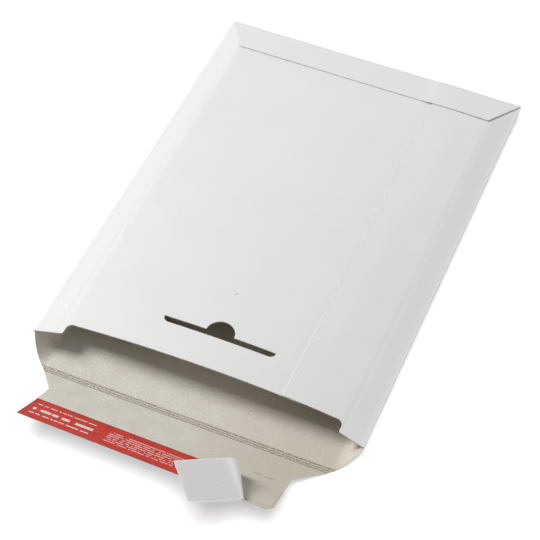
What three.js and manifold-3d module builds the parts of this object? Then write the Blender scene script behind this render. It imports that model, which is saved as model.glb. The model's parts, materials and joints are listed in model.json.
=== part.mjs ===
// Solid-board mailing envelope, lying on its bottom panel with the mouth open.
// Millimetres. +X across the envelope, +Y from the mouth to the rear fold, +Z up.
// The origin is the centre of the bottom panel's flat underside.

import * as THREE from 'three';
import { mergeVertices } from 'three/addons/utils/BufferGeometryUtils.js';
import Module from 'manifold-3d';

// Board and overall size
const BOARD = 0.7;
const WIDTH = 250;
const LENGTH = 353;

// Heights above the surface that the envelope lies on
const FOLD_HEIGHT = 14;
const TOP_RISE = 3.2;
const MOUTH_ARCH = 6.5;
const ARCH_FADE = 0.8;

// Plan widths of the sloped borders between the folds and the flat panels
const SIDE_TOP = 17.7;
const SIDE_BOTTOM = 16.5;
const REAR_TOP = 29.7;
const REAR_BOTTOM = 26.4;

// Lap seam of the top panel, and the rear end flap glued over it
const LAP_EDGE = 59.5;
const LAP_WIDTH = 13.5;
const MITRE_GAP = 1.2;
const GLUE_SINK = 0.2;

// Mouth: the top panel's recess and the bottom panel's run to the scored hinge line
const MOUTH_LEAN = 3;
const RECESS_INSET = 20;
const RECESS_DEPTH = 12.3;
const RECESS_RADIUS = 4;
const LIP = 18.5;

// Tuck slot with its thumb notch
const SLOT_FROM_MOUTH = 41.1;
const SLOT_LENGTH = 85;
const SLOT_WIDTH = 4.6;
const THUMB_RADIUS = 10.5;

// Closing flap
const FLAP_TILT = 29.9;
const FLAP_LENGTH = 71.8;
const NECK_RUN = 24.8;
const NECK_WIDTH = 181.3;
const NECK_RADIUS = 5;
const FLAP_END_WIDTH = 183.5;
const FLAP_CORNER_RADIUS = 6;

// Adhesive strip and its release liner
const ADHESIVE_WIDTH = 22;
const ADHESIVE_THICKNESS = 0.2;
const ADHESIVE_SIDE_MARGIN = 2;
const LINER_WIDTH = 27.5;
const LINER_THICKNESS = 0.3;
const LINER_OVERHANG = 0.4;

// The liner's peeled end is a cone, whose tip lies just past the flap's end
const PEEL_TIP_X = 75.1;
const PEEL_TIP_BEYOND = 7.2;
const PEEL_START_ANGLE = 45.7;
const PEEL_CONE_ANGLE = 13.9;
const PEEL_WRAP = 183.3;
const PEEL_TAIL = 38.1;

// Clearances between pieces, and the fineness of curved stretches
const HINGE_GAP = 0.3;
const SEAT_GAP = 0.3;
const FOLD_LAND = 0.2;
const SHARPEST_HIP = 0.02;
const REAR_FOLD_WALL = 1.5;
const ARCH_STEPS = 8;
const LENGTH_STEPS = 8;
const PEEL_STEPS = 22;
const CURVE_SEGMENTS = 14;
const CUT_MARGIN = 30;

const HALF = WIDTH / 2;
const REAR_TOP_CREASE = LENGTH - REAR_TOP;
const REAR_BOTTOM_CREASE = LENGTH - REAR_BOTTOM;
const BOTTOM_CENTRE = (REAR_BOTTOM_CREASE - LIP) / 2;
const BOTTOM_HALF = HALF - SIDE_BOTTOM;
// The flap's root clears the inner faces of the side borders, which rise beside it as it folds over
const FLAP_ROOT_HALF = BOTTOM_HALF - BOARD - HINGE_GAP;

const wasm = await Module();
wasm.setup();

const radians = (degrees) => THREE.MathUtils.degToRad(degrees);

// A closed solid through loops of equal count. Each loop runs counter-clockwise seen from the first one's
// side, and capOutline gives a loop's flat outline for the end faces.
function loft(loops, capOutline) {
  const count = loops[0].length;
  const positions = loops.flat().flatMap((point) => point.toArray());
  const index = [];
  for (let row = 0; row + 1 < loops.length; row += 1) {
    for (let i = 0; i < count; i += 1) {
      const near = row * count + i;
      const nearNext = row * count + (i + 1) % count;
      index.push(near, near + count, nearNext + count);
      index.push(near, nearNext + count, nearNext);
    }
  }
  const last = (loops.length - 1) * count;
  for (const [a, b, c] of THREE.ShapeUtils.triangulateShape(capOutline(loops[0]), [])) {
    index.push(a, b, c);
  }
  for (const [a, b, c] of THREE.ShapeUtils.triangulateShape(capOutline(loops.at(-1)), [])) {
    index.push(last + a, last + c, last + b);
  }
  const geometry = new THREE.BufferGeometry();
  geometry.setAttribute('position', new THREE.Float32BufferAttribute(positions, 3));
  geometry.setIndex(index);
  return geometry;
}

const crossSection = (loop) => loop.map((point) => new THREE.Vector2(point.x, point.z));

// A plan outline made into a block from one height to another
function prism(shape, low, high) {
  const options = { depth: high - low, bevelEnabled: false, curveSegments: CURVE_SEGMENTS };
  return new THREE.ExtrudeGeometry(shape, options).translate(0, 0, low);
}

function toSolid(geometry) {
  const bare = geometry.clone();
  bare.deleteAttribute('normal');
  bare.deleteAttribute('uv');
  const merged = mergeVertices(bare);
  return new wasm.Manifold(new wasm.Mesh({
    numProp: 3,
    vertProperties: new Float32Array(merged.attributes.position.array),
    triVerts: new Uint32Array(merged.index.array),
  }));
}

function toGeometry(solid) {
  const mesh = solid.getMesh();
  const geometry = new THREE.BufferGeometry();
  geometry.setAttribute('position', new THREE.BufferAttribute(mesh.vertProperties, 3));
  geometry.setIndex(new THREE.BufferAttribute(mesh.triVerts, 1));
  geometry.computeVertexNormals();
  return geometry;
}

// Share of a border's full width at a distance from the mouth: 1 along the envelope, falling to the rear fold
function rearShare(y, border) {
  return THREE.MathUtils.clamp((LENGTH - y) / border, SHARPEST_HIP, 1);
}

// Half width of the top panel between its creases, for a board surface whose side fold is at half
function topHalf(y, half) {
  return half - SIDE_TOP * rearShare(y, REAR_TOP);
}

// Inner face of the top panel on the left of the lap, arched most at the mouth
function topInside(x, y, crease) {
  const along = THREE.MathUtils.clamp(1 - y / REAR_TOP_CREASE, 0, 1);
  const arch = MOUTH_ARCH * along ** ARCH_FADE * (1 - (x / crease) ** 2);
  return FOLD_HEIGHT + TOP_RISE * rearShare(y, REAR_TOP) + arch;
}

// One board surface of the pocket at a distance from the mouth, as a loop through its folds and creases.
// The top steps up by a board at stepX, where the right part lies over the left part.
function pocketLoop(y, surface) {
  const { half, land, topLift, bottomLift, stepX } = surface;
  const crease = topHalf(y, half);
  const bottomShare = rearShare(y, REAR_BOTTOM);
  const bottomCrease = half - SIDE_BOTTOM * bottomShare;
  const bottomZ = THREE.MathUtils.lerp(FOLD_HEIGHT, BOARD, bottomShare) + bottomLift;
  const top = (x, lap) => new THREE.Vector3(x, y, topInside(x, y, crease) + topLift + lap);
  const loop = [
    new THREE.Vector3(-bottomCrease, y, bottomZ),
    new THREE.Vector3(bottomCrease, y, bottomZ),
    new THREE.Vector3(half, y, FOLD_HEIGHT - land),
    new THREE.Vector3(half, y, FOLD_HEIGHT + land),
  ];
  for (let i = 0; i <= ARCH_STEPS; i += 1) {
    loop.push(top(THREE.MathUtils.lerp(crease, stepX, i / ARCH_STEPS), BOARD));
  }
  for (let i = 0; i <= ARCH_STEPS; i += 1) {
    loop.push(top(THREE.MathUtils.lerp(stepX, -crease, i / ARCH_STEPS), 0));
  }
  loop.push(new THREE.Vector3(-half, y, FOLD_HEIGHT + land));
  loop.push(new THREE.Vector3(-half, y, FOLD_HEIGHT - land));
  return loop;
}

const OUTSIDE = {
  half: HALF,
  land: BOARD,
  topLift: BOARD,
  bottomLift: -BOARD,
  stepX: LAP_EDGE,
};
const INSIDE = {
  half: HALF - BOARD,
  land: FOLD_LAND / 2,
  topLift: 0,
  bottomLift: 0,
  stepX: LAP_EDGE + LAP_WIDTH,
};

// A pocket surface from in front of the mouth to the given rear end
function pocketSolid(surface, front, rear) {
  const stations = [front];
  for (let i = 0; i < LENGTH_STEPS; i += 1) {
    stations.push(REAR_TOP_CREASE * i / LENGTH_STEPS);
  }
  stations.push(REAR_TOP_CREASE, REAR_BOTTOM_CREASE, rear);
  const ordered = [...new Set(stations)].sort((a, b) => a - b);
  return toSolid(loft(ordered.map((y) => pocketLoop(y, surface)), crossSection));
}

// Plan area in front of the top panel's edge, which steps back into a recess with rounded corners
function topTrimShape() {
  const recessHalf = HALF - RECESS_INSET;
  const front = -LIP - CUT_MARGIN;
  const side = HALF + CUT_MARGIN;
  const shape = new THREE.Shape();
  shape.moveTo(-side, front);
  shape.lineTo(side, front);
  shape.lineTo(side, 0);
  shape.lineTo(HALF, 0);
  shape.lineTo(recessHalf, MOUTH_LEAN);
  shape.lineTo(recessHalf, RECESS_DEPTH - RECESS_RADIUS);
  shape.absarc(recessHalf - RECESS_RADIUS, RECESS_DEPTH - RECESS_RADIUS, RECESS_RADIUS, 0, Math.PI / 2);
  shape.absarc(RECESS_RADIUS - recessHalf, RECESS_DEPTH - RECESS_RADIUS, RECESS_RADIUS, Math.PI / 2, Math.PI);
  shape.lineTo(-recessHalf, MOUTH_LEAN);
  shape.lineTo(-HALF, 0);
  shape.lineTo(-side, 0);
  shape.closePath();
  return shape;
}

// Plan area in front of the bottom panel's edge: tapered sides and the hinge line
function bottomTrimShape() {
  const front = -LIP - CUT_MARGIN;
  const side = HALF + CUT_MARGIN;
  const hinge = HINGE_GAP / 2 - LIP;
  const shape = new THREE.Shape();
  shape.moveTo(-side, front);
  shape.lineTo(side, front);
  shape.lineTo(side, 0);
  shape.lineTo(HALF, 0);
  shape.lineTo(BOTTOM_HALF, hinge);
  shape.lineTo(-BOTTOM_HALF, hinge);
  shape.lineTo(-HALF, 0);
  shape.lineTo(-side, 0);
  shape.closePath();
  return shape;
}

// Tuck slot whose front side rounds up to its ends, and the half-round thumb notch in its rear side
function slotShape() {
  const end = SLOT_LENGTH / 2 - SLOT_WIDTH;
  const rear = SLOT_FROM_MOUTH + SLOT_WIDTH / 2;
  const shape = new THREE.Shape();
  shape.moveTo(-end, rear - SLOT_WIDTH);
  shape.absarc(end, rear, SLOT_WIDTH, -Math.PI / 2, 0);
  shape.absarc(0, rear, THUMB_RADIUS, 0, Math.PI);
  shape.absarc(-end, rear, SLOT_WIDTH, Math.PI, 3 * Math.PI / 2);
  return shape;
}

// Rear end flap, folded over the rear fold and glued on the top panel's rear border with mitred ends
function rearFlapLoop(y) {
  const crease = topHalf(y, HALF);
  const end = crease - MITRE_GAP;
  const at = (x, lift) => new THREE.Vector3(x, y, topInside(x, y, crease) + BOARD + lift);
  return [
    at(-end, -GLUE_SINK),
    at(LAP_EDGE, -GLUE_SINK),
    at(LAP_EDGE, BOARD - GLUE_SINK),
    at(end, BOARD - GLUE_SINK),
    at(end, 2 * BOARD),
    at(LAP_EDGE, 2 * BOARD),
    at(LAP_EDGE, BOARD),
    at(-end, BOARD),
  ];
}

function envelopeBody() {
  const front = -LIP - CUT_MARGIN / 2;
  const cutTop = FOLD_HEIGHT + TOP_RISE + MOUTH_ARCH + CUT_MARGIN;
  const board = pocketSolid(OUTSIDE, front, LENGTH);
  const pocket = pocketSolid(INSIDE, front - CUT_MARGIN, LENGTH - REAR_FOLD_WALL);
  const rearFlap = toSolid(loft([rearFlapLoop(REAR_TOP_CREASE), rearFlapLoop(LENGTH)], crossSection));
  const solid = board
    .subtract(pocket)
    .subtract(toSolid(prism(topTrimShape(), FOLD_HEIGHT, cutTop)))
    .subtract(toSolid(prism(bottomTrimShape(), -CUT_MARGIN, FOLD_HEIGHT)))
    .subtract(toSolid(prism(slotShape(), FOLD_HEIGHT, cutTop)))
    .add(rearFlap);
  return toGeometry(solid);
}

// Closing flap in its own plane: it runs from the hinge line along -Y, and its inner face is at Z = 0
function closingFlap() {
  const root = -HINGE_GAP / 2;
  const neck = NECK_WIDTH / 2;
  const end = FLAP_END_WIDTH / 2;
  const r = FLAP_CORNER_RADIUS;
  const taper = new THREE.Vector2(FLAP_ROOT_HALF - neck, NECK_RUN).normalize().multiplyScalar(NECK_RADIUS);
  const shape = new THREE.Shape();
  shape.moveTo(-FLAP_ROOT_HALF, root);
  shape.lineTo(-neck - taper.x, taper.y - NECK_RUN);
  shape.quadraticCurveTo(-neck, -NECK_RUN, -neck, -NECK_RUN - NECK_RADIUS);
  shape.lineTo(-end, r - FLAP_LENGTH);
  shape.absarc(r - end, r - FLAP_LENGTH, r, Math.PI, 3 * Math.PI / 2);
  shape.absarc(end - r, r - FLAP_LENGTH, r, -Math.PI / 2, 0);
  shape.lineTo(neck, -NECK_RUN - NECK_RADIUS);
  shape.quadraticCurveTo(neck, -NECK_RUN, neck + taper.x, taper.y - NECK_RUN);
  shape.lineTo(FLAP_ROOT_HALF, root);
  shape.closePath();
  return prism(shape, -BOARD, 0);
}

// Adhesive strip along the flap's end, in the middle of the liner's width
function adhesiveStrip() {
  const margin = (LINER_WIDTH - ADHESIVE_WIDTH) / 2;
  const length = FLAP_END_WIDTH - 2 * ADHESIVE_SIDE_MARGIN;
  const strip = new THREE.BoxGeometry(length, ADHESIVE_WIDTH, ADHESIVE_THICKNESS);
  const middle = margin + ADHESIVE_WIDTH / 2 - FLAP_LENGTH;
  return strip.translate(0, middle, SEAT_GAP + ADHESIVE_THICKNESS / 2);
}

// Release liner. It lies flat on the strip up to a slanting line, then its free end rolls up and back over a
// cone, so that its underside shows. Angles are counted round the cone's tip, from -X towards +Y.
function releaseLiner() {
  const seat = 2 * SEAT_GAP + ADHESIVE_THICKNESS;
  const tip = new THREE.Vector3(PEEL_TIP_X, -FLAP_LENGTH - PEEL_TIP_BEYOND, seat);
  const start = radians(PEEL_START_ANGLE);
  const coneAngle = radians(PEEL_CONE_ANGLE);
  const wrap = radians(PEEL_WRAP);
  const up = new THREE.Vector3(0, 0, 1);
  const firstRuling = new THREE.Vector3(-Math.cos(start), Math.sin(start), 0);
  const axis = firstRuling.clone()
    .multiplyScalar(Math.cos(coneAngle))
    .addScaledVector(up, Math.sin(coneAngle));
  const near = PEEL_TIP_BEYOND;
  const far = PEEL_TIP_BEYOND + LINER_WIDTH;

  // A point of the flat liner, given from the tip, with the strip rolled round the cone up to that line
  const rolled = (x, y, lift, turn) => new THREE.Vector3(x, y, lift)
    .applyAxisAngle(up, turn * Math.sin(coneAngle))
    .applyAxisAngle(axis, -turn)
    .add(tip);

  // The liner's section along a line across the flat strip, from its outer to its inner edge
  const section = (outerX, innerX, turn) => [
    rolled(innerX, far, 0, turn),
    rolled(outerX, near, 0, turn),
    rolled(outerX, near, LINER_THICKNESS, turn),
    rolled(innerX, far, LINER_THICKNESS, turn),
  ];

  const leftEnd = -PEEL_TIP_X - FLAP_END_WIDTH / 2 - LINER_OVERHANG;
  const loops = [section(leftEnd, leftEnd, 0)];
  for (let i = 0; i <= PEEL_STEPS; i += 1) {
    const turn = wrap * i / PEEL_STEPS;
    const slant = Math.tan(start + turn * Math.sin(coneAngle));
    loops.push(section(-near / slant, -far / slant, turn));
  }
  loops.push(section(PEEL_TAIL, PEEL_TAIL, wrap));
  const outline = [[0, 0], [LINER_WIDTH, 0], [LINER_WIDTH, LINER_THICKNESS], [0, LINER_THICKNESS]];
  return loft(loops, () => outline.map(([x, y]) => new THREE.Vector2(x, y)));
}

function piece(name, geometry, color, roughness) {
  const material = new THREE.MeshStandardMaterial({ color, roughness, metalness: 0, flatShading: true });
  const mesh = new THREE.Mesh(geometry, material);
  mesh.name = name;
  return mesh;
}

const flap = new THREE.Group();
flap.position.set(0, -LIP, BOARD);
flap.rotation.x = -radians(FLAP_TILT);
flap.add(piece('closing_flap', closingFlap(), 0xc9c4b8, 0.85));
flap.add(piece('adhesive_strip', adhesiveStrip(), 0xd8d4c8, 0.3));
flap.add(piece('release_liner', releaseLiner(), 0xc8302a, 0.45));

const mouthFrame = new THREE.Group();
mouthFrame.position.y = -BOTTOM_CENTRE;
mouthFrame.add(piece('envelope_body', envelopeBody(), 0xe6e6e4, 0.6));
mouthFrame.add(flap);

const envelope = new THREE.Group();
envelope.add(mouthFrame);

export default envelope;
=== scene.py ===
"""A solid-board mailing envelope with an open mouth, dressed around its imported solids.

The board is one flat blank, cut and then folded: s runs across the blank and v along it, and a point
of the blank keeps its s and v as the UV map of the folded sheet. The adhesive film and the release liner
are flat sheets too, laid on the closing flap. Metres, +X across, +Y to the rear fold, +Z up.
"""

import json
import math

import bpy
import numpy as np
from mathutils import Matrix, Quaternion, Vector
from mathutils.geometry import delaunay_2d_cdt


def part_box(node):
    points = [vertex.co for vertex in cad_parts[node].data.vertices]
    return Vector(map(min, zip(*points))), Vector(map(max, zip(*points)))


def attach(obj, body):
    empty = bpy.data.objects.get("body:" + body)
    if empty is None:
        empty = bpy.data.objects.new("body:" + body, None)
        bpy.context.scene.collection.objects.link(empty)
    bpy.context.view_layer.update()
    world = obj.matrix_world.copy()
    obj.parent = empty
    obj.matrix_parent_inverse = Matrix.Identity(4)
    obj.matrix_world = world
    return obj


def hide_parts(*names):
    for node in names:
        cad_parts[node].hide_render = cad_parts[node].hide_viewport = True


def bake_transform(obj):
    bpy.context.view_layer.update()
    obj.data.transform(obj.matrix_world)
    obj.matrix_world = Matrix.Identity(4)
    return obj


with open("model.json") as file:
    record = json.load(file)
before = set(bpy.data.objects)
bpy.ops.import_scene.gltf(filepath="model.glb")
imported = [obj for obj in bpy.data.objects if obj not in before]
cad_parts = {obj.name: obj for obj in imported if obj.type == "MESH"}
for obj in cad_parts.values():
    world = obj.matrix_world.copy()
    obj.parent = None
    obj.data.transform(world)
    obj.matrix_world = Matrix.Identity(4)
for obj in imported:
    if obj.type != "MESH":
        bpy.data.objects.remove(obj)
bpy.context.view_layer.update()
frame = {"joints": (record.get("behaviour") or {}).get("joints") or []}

MM = 0.001
_, body_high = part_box("envelope_body")
hinge = next(joint for joint in frame["joints"] if joint["name"] == "flap_hinge")

# Board, and the distances of the blank from the mouth's corners
BOARD = 0.7 * MM
EDGE_CRUSH = 0.12 * MM
LIP = 18.5 * MM
HINGE = Vector(hinge["pos_m"])
MOUTH = HINGE.y + LIP
HALF = body_high.x
LENGTH = body_high.y - MOUTH

# Heights of the pocket and plan widths of its sloped borders
FOLD_HEIGHT = 14 * MM
TOP_RISE = 3.2 * MM
MOUTH_ARCH = 6.5 * MM
ARCH_FADE = 0.8
SIDE_TOP = 17.7 * MM
SIDE_BOTTOM = 16.5 * MM
REAR_TOP = 29.7 * MM
REAR_BOTTOM = 26.4 * MM
TOP_CREASE = HALF - SIDE_TOP
BOTTOM_CREASE = HALF - SIDE_BOTTOM
REAR_TOP_CREASE = LENGTH - REAR_TOP
REAR_BOTTOM_CREASE = LENGTH - REAR_BOTTOM

# Folds: the side folds turn the board back on itself, and the rear fold wraps the top panel's end
FOLD_RADIUS = 0.5 * MM
FOLD_ARC = math.pi * FOLD_RADIUS
FOLD_START = HALF - BOARD / 2 - FOLD_RADIUS
FOLD_EASE = 2 * MM
REAR_RADIUS = 1.25 * MM
REAR_ARC = math.pi * REAR_RADIUS
REAR_START = LENGTH - BOARD / 2 - REAR_RADIUS
TOP_ROUNDING = 0.5 * MM
BOTTOM_ROUNDING = 0.8 * MM
GLUE_GAP = 0.1 * MM

# Lap seam, where the right part of the top panel lies over the left part, and the rear flap on both
LAP_EDGE = 59.5 * MM
LAP_WIDTH = 13.5 * MM
LAP_BRIDGE = 11 * MM
LAP_END = LAP_EDGE + LAP_WIDTH
LAYER = BOARD + GLUE_GAP
REAR_LIFT = 0.3 * MM
TOP_END_GAP = 0.5 * MM
LEFT_MITRE_GAP = 0.5 * MM
RIGHT_MITRE_GAP = 1.3 * MM
MITRE_ROOT = 0.3 * MM

# Mouth recess and tuck slot
MOUTH_LEAN = 3 * MM
LEFT_RECESS_HALF = HALF - 22 * MM
RIGHT_RECESS_HALF = HALF - 20 * MM
RECESS_DEPTH = 12.3 * MM
RECESS_RADIUS = 4 * MM
SHOULDER_RADIUS = 1.5 * MM
SLOT_FROM_MOUTH = 41.1 * MM
SLOT_HALF = 42.5 * MM
SLOT_WIDTH = 4.6 * MM
THUMB_RADIUS = 10.5 * MM

# Unevenness of the top panel: shallow waves, grooves along its creases, and two creased dents beside
# the lap, as lines of x and v
WAVE_HEIGHT = 0.1 * MM
WAVE_X = 19 * MM
WAVE_Y = 31 * MM
WAVE_SLANT = 3 * WAVE_X
WAVE_PHASE = 0.6
LONG_WAVE = 2 * WAVE_Y
LONG_PHASE = 1.9
WAVE_FADE = 25 * MM
DENTS = (
    ((22 * MM, 174 * MM), (57 * MM, 180 * MM)),
    ((17 * MM, 198 * MM), (56 * MM, 198.5 * MM)),
)
DENT_DEPTH = 0.14 * MM
DENT_WIDTH = 2.2 * MM
GROOVE_DEPTH = 0.08 * MM
GROOVE_WIDTH = 1.1 * MM
GROOVE_FADE = 3 * MM

# Closing flap with its lip, and the scores that it turns on, by their distance past the hinge line
FLAP_TILT = math.radians(29.9)
FLAP_TWIST = math.radians(-1.13)
FLAP_LENGTH = 71.8 * MM
NECK_RUN = 24.8 * MM
LEFT_NECK_HALF = 91.5 * MM
RIGHT_NECK_HALF = 89.2 * MM
NECK_RADIUS = 5 * MM
FLAP_END_HALF = 91.75 * MM
FLAP_CORNER_RADIUS = 6 * MM
ROOT_RADIUS = 25 * MM
LIP_BULGE = 2.6 * MM
LIP_RADIUS = 40 * MM
LIP_START = 3 * MM
LIP_CORNER_RADIUS = 2 * MM
SCORES = (-2.2 * MM, 0 * MM, 2.2 * MM)
SCORE_HALF = 0.6 * MM
SCORE_DEPTH = 0.13 * MM
SCORE_SPREAD = 0.6 * MM
BEND_HALF = 3 * MM
SLOPE_FADE = 12 * MM
LIP_SAG = 1.0
LIP_SAG_REACH = 60 * MM

# Wrinkles pressed into the flap, as lines of x and of the distance past the hinge line
WRINKLES = (
    ((64 * MM, 34.5 * MM), (73 * MM, 34.2 * MM)),
    ((71 * MM, 37 * MM), (82 * MM, 33.5 * MM)),
)
WRINKLE_DEPTH = 0.2 * MM
WRINKLE_WIDTH = 0.6 * MM

# Adhesive film and release liner, in the flap's own plane
FILM_WIDTH = 22 * MM
FILM_THICKNESS = 0.12 * MM
FILM_SEAT = 0.06 * MM
FILM_SIDE_MARGIN = 2 * MM
FILM_CORNER = 1 * MM
LINER_WIDTH = 27.5 * MM
LINER_THICKNESS = 0.16 * MM
LINER_SEAT = 0.25 * MM
LINER_OVERHANG = 0.4 * MM
LINER_FRONT = 1.4 * MM
LINER_SKEW = 1.5 * MM
PEEL_TIP_X = 75.1 * MM
PEEL_TIP_BEYOND = 7.2 * MM
PEEL_START = math.radians(45.7)
PEEL_CONE = math.radians(13.9)
PEEL_WRAP = math.radians(183.3)

# Sides of the liner's peeled end: place along it, how much wider it is there, and radius of the corner
NEAR_SIDE = (
    (-10 * MM, LINER_FRONT, 15 * MM),
    (-1.5 * MM, 2.1 * MM, 20 * MM),
    (5 * MM, 3 * MM, 30 * MM),
    (19 * MM, 2.5 * MM, 60 * MM),
    (37.3 * MM, 0.7 * MM, 0.8 * MM),
)
FAR_SIDE = (
    (39 * MM, 1.6 * MM, 0.8 * MM),
    (17 * MM, 1.3 * MM, 60 * MM),
    (-12 * MM, 0 * MM, 60 * MM),
)

# Fineness of the sheets and of their rounded corners
BOARD_GRID = 4 * MM
FILM_GRID = 4 * MM
LINER_GRID = 1.1 * MM
ARC_STEPS = 8
CORNER_TURN = 0.2
CORNER_STEPS = 3
SLOT_END_STEPS = 10
THUMB_STEPS = 24
BEND_STEPS = 8000
BEND_MARGIN = 2 * MM
SHARP_EDGE = math.radians(38)
CLOSE = 1e-7

# Lines that the board's mesh follows beside a crease, a score, a dent or a wrinkle: their spacing, and
# how many there are on each side
CREASE_LINES = (0.6 * MM, 2)
SCORE_LINES = (0.3 * MM, 12)
DENT_LINES = (DENT_WIDTH / 2, 3)
WRINKLE_LINES = (WRINKLE_WIDTH / 2, 3)

# Masks on the sheets: widths of worn creases, of painted light on folds, of cracks and painted shade at
# scores, and of the liner's rim; and angles past the end of the liner's roll between which the roll's
# mask fades out
WEAR_WIDTH = 1.2 * MM
FOLD_PAINTED_LIGHT_WIDTH = 1.4 * MM
SCORE_MARK = 0.8 * MM
RIM_WIDTH = 1.3 * MM
ROLL_FADE = (-0.1, 0.25)

# Patches of the materials, made of noise: size of a mark, its stretch along v, detail, the range of the
# noise, and the values that the range is taken onto
WHITE_CLOUD = (38 * MM, 1, 3, 0.3, 0.7, 0, 1)
WHITE_MOTTLE = (2.2 * MM, 1, 4, 0.45, 0.75, 0, 0.5)
WHITE_BROKEN = (1.3 * MM, 2, 3, 0.4, 0.7, 0, 1)
SEAM_SHADE_PATCHES = (7 * MM, 1, 2, 0.4, 0.6, 0.2, 0.85)
GREY_CLOUD = (16 * MM, 1, 3, 0.32, 0.68, 0, 1)
GREY_MOTTLE = (1.9 * MM, 1, 4, 0.42, 0.72, 0, 0.6)
GREY_FIBRE = (0.42 * MM, 9, 1, 0.64, 0.7, 0, 0.45)
SCORE_DASHES = (1.7 * MM, 0.45, 2, 0.42, 0.56, 0, 1)
EDGE_GRAIN = (0.8 * MM, 1, 3, 0.35, 0.7, 0, 1)
RED_CLOUD = (9 * MM, 1, 3, 0.3, 0.7, 0, 1)
RED_GRAIN = (0.9 * MM, 1, 3, 0.5, 0.75, 0, 0.35)
LINER_STREAK = (12 * MM, 0.09, 3, 0.35, 0.65, 0, 1)

# Relief of the surfaces: size of a mark, detail, stretch along v, and depth
WHITE_RELIEF = (0.35 * MM, 3, 4, 0.012 * MM)
GREY_RELIEF = (0.5 * MM, 3, 3, 0.02 * MM)
RED_RELIEF = (0.7 * MM, 2, 1, 0.006 * MM)
STREAK_DEPTH = 0.006 * MM

# White face: tones, strength of its pale worn creases and of painted light on its folds, and its
# roughness
WHITE_GROUND = ((0.786, 0.787, 0.780), (0.802, 0.803, 0.798))
MOTTLE_TONE = (0.765, 0.764, 0.755)
RUBBED_TONE = (0.85, 0.85, 0.845)
RUBBED_SHARE = 0.4
FOLD_PAINTED_LIGHT_TONE = (0.97, 0.97, 0.965)
FOLD_PAINTED_LIGHT_SHARE = 0.9
SCUFF_AND_DENT_SHADE_TONE = (0.30, 0.29, 0.28)
SPOT_CORE = 0.3
WHITE_ROUGHNESS = (0.5, 0.6)

# Lap seam's marks: painted shade at the foot of the lap's edge, a painted highlight on that edge and
# grime behind it. Their strength changes along v within the seam's stretch
SEAM_STRETCH = (60 * MM, 115 * MM)
SEAM_SHADE_WIDTH = 1.1 * MM
SEAM_SHADE_SHARE = (0.3, 1)
SEAM_SHADE_TONE = (0.55, 0.545, 0.53)
LAP_HIGHLIGHT_WIDTH = 1.3 * MM
LAP_HIGHLIGHT_SHARE = (0.8, 0.15)
LAP_HIGHLIGHT_TONE = (0.96, 0.955, 0.93)
LAP_DIRT_OFFSET = 1.8 * MM
LAP_DIRT_WIDTH = 0.9 * MM
LAP_DIRT_SHARE = 0.4
LAP_DIRT_TONE = (0.60, 0.595, 0.58)

# Scuffs and painted shade along dents on the white top panel: x, v, half sizes along s and v, and
# strength
WHITE_SCUFFS_AND_DENT_SHADE = (
    (-3.7 * MM, 81 * MM, 1.3 * MM, 0.8 * MM, 0.75),
    (-2.4 * MM, 198 * MM, 0.7 * MM, 1.6 * MM, 0.12),
    (40 * MM, 177 * MM, 15 * MM, 0.7 * MM, 0.05),
    (38 * MM, 198 * MM, 17 * MM, 0.7 * MM, 0.05),
    (56 * MM, 66 * MM, 0.7 * MM, 2.2 * MM, 0.10),
    (57 * MM, 110 * MM, 0.6 * MM, 2.0 * MM, 0.10),
)

# Grey face: tones, painted shade that makes the flap's right part darker and warmer, fibres with their
# angles, flecks by their size, range and strength, and how strong the painted highlights on ridges and
# the cracks with painted shade in scores are along their dashes
GREY_TONES = {
    "ground": (0.665, 0.625, 0.55),
    "pale_ground": (0.72, 0.693, 0.617),
    "painted_shade_ground": (0.585, 0.522, 0.438),
    "mottle": (0.60, 0.566, 0.49),
    "dark_fibre": (0.52, 0.485, 0.415),
    "pale_fibre": (0.76, 0.74, 0.675),
    "fleck": (0.38, 0.345, 0.295),
    "score": (0.16, 0.13, 0.095),
    "ridge_highlight": (0.80, 0.76, 0.64),
}
PAINTED_SHADE_PLACE = 95 * MM
PAINTED_SHADE_REACH = 90 * MM
GREY_FIBRES = (("dark_fibre", 0.2), ("pale_fibre", 1.3), ("dark_fibre", 2.3))
FLECK_SIZE = 3.4 * MM
FLECK_RANGE = (0.06, 0.13, 0.7, 0)
RIDGE_HIGHLIGHT_SHARE = (0.85, 0.1)
SCORE_CRACK_AND_SHADE_SHARE = (0.35, 1)

# Marks on the grey flap, of which the two along the wrinkles are partly painted shade: x, distance past
# the hinge line, half sizes, angle and strength
GREY_SCUFFS_AND_WRINKLE_SHADE = (
    (-10 * MM, 13.6 * MM, 1.6 * MM, 0.5 * MM, 0.3, 0.6),
    (68.5 * MM, 34.4 * MM, 5 * MM, 0.9 * MM, 0.03, 0.9),
    (76.5 * MM, 35.3 * MM, 6 * MM, 1.0 * MM, -0.31, 1.0),
)

# Cut edge of the board, and the two faces of the liner
EDGE_TONES = ((0.66, 0.65, 0.62), (0.50, 0.48, 0.44))
RED_GROUND = ((0.47, 0.035, 0.024), (0.59, 0.046, 0.03))
RED_GRAIN_TONE = (0.42, 0.027, 0.019)
# The red face's darker rim is painted shade
RED_RIM_SHADE_TONE = (0.17, 0.022, 0.02)
RED_RIM_SHADE_SHARE = 0.75
PRINT_TONE = (0.82, 0.74, 0.72)
PRINT_SHARE = 0.85
LINER_TONES = ((0.765, 0.742, 0.747), (0.795, 0.773, 0.778))
# The white face's paler bend and rim are painted highlights
LINER_BEND_HIGHLIGHT_TONE = (0.95, 0.94, 0.942)
LINER_RIM_HIGHLIGHT_TONE = (0.93, 0.93, 0.93)
LINER_RIM_HIGHLIGHT_SHARE = 0.8

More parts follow.
